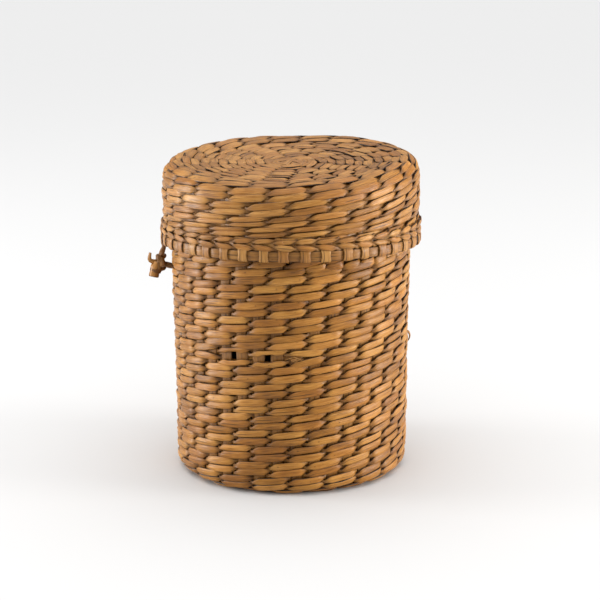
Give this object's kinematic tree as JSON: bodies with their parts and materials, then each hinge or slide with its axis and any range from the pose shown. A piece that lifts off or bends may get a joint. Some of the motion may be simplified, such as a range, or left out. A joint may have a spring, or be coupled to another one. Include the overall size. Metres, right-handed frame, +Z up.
{
  "type": "seagrass storage basket",
  "caption": "Round lidded basket twined from flattened seagrass over upright stakes, with a deep slip-over lid tied to the wall at one side by a knotted cord; stores small dry goods.",
  "frame": {"origin": "centre of the flat underside, on the surface the basket stands on", "axes": "+Z up through the middle of the basket and its lid; -Y the front; -X the side where the lid is tied on"},
  "size_m": [0.1335, 0.1274, 0.1534],
  "materials": {
    "weft_body": "dry flattened seagrass strand, golden brown, satin, darker in the crevices",
    "weft_lid": "dry flattened seagrass strand, lighter golden tan on top, satin",
    "border": "flattened seagrass straps folded over the lid's edge",
    "stake": "round seagrass stake, dull brown",
    "tie_cord": "twisted brown plant-fibre cord, dry, matt"
  },
  "bodies": {
    "basket": {"base_start": "weft_body", "base_spokes": "stake", "base_round_1": "weft_body", "base_round_2": "weft_body", "base_round_3": "weft_body", "base_round_4": "weft_body", "base_inner_weave": "weft_body", "base_corner_course": "weft_body", "base_corner_lining": "weft_body", "wall_course_01": "weft_body", "wall_course_02": "weft_body", "wall_course_03": "weft_body", "wall_course_04": "weft_body", "wall_course_05": "weft_body", "wall_course_06": "weft_body", "wall_course_07": "weft_body", "wall_course_08": "weft_body", "wall_course_09": "weft_body", "wall_course_10": "weft_body", "wall_course_11": "weft_body", "wall_course_12": "weft_body", "wall_course_13": "weft_body", "neck_twist_row": "weft_body", "neck_course_1": "weft_body", "neck_course_2": "weft_body", "neck_course_3": "weft_body", "neck_course_4": "weft_body", "wall_lining": "weft_body", "neck_lining": "weft_body", "body_rim": "weft_body", "body_stakes": "stake", "loose_loop": "weft_body", "tie_knot": "tie_cord", "tie_loop": "tie_cord", "tie_wall_strand": "tie_cord", "tie_stopper": "tie_cord", "tie_tail": "tie_cord", "tie_whipping": "tie_cord", "tie_short_tail": "tie_cord"},
    "lid": {"lid_start": "weft_lid", "lid_spokes": "stake", "lid_round_1": "weft_lid", "lid_round_2": "weft_lid", "lid_round_3": "weft_lid", "lid_crown_round": "weft_lid", "lid_inner_weave": "weft_lid", "lid_crown_lining": "weft_lid", "lid_shoulder_course": "weft_lid", "lid_shoulder_lining": "weft_lid", "lid_lining": "weft_lid", "lid_course_1": "weft_lid", "lid_course_2": "weft_lid", "lid_course_3": "weft_lid", "lid_lock_row_1": "weft_lid", "lid_lock_row_2": "weft_lid", "lid_stakes": "stake", "lid_border_ring": "border", "lid_border_straps": "border"}
  },
  "joints": [
    {"name": "lid_hinge", "type": "hinge", "parent": "basket", "child": "lid", "pos_m": [-0.062, 0, 0.1136], "axis": [0, -1, 0], "range_deg": [0, 105]}
  ]
}
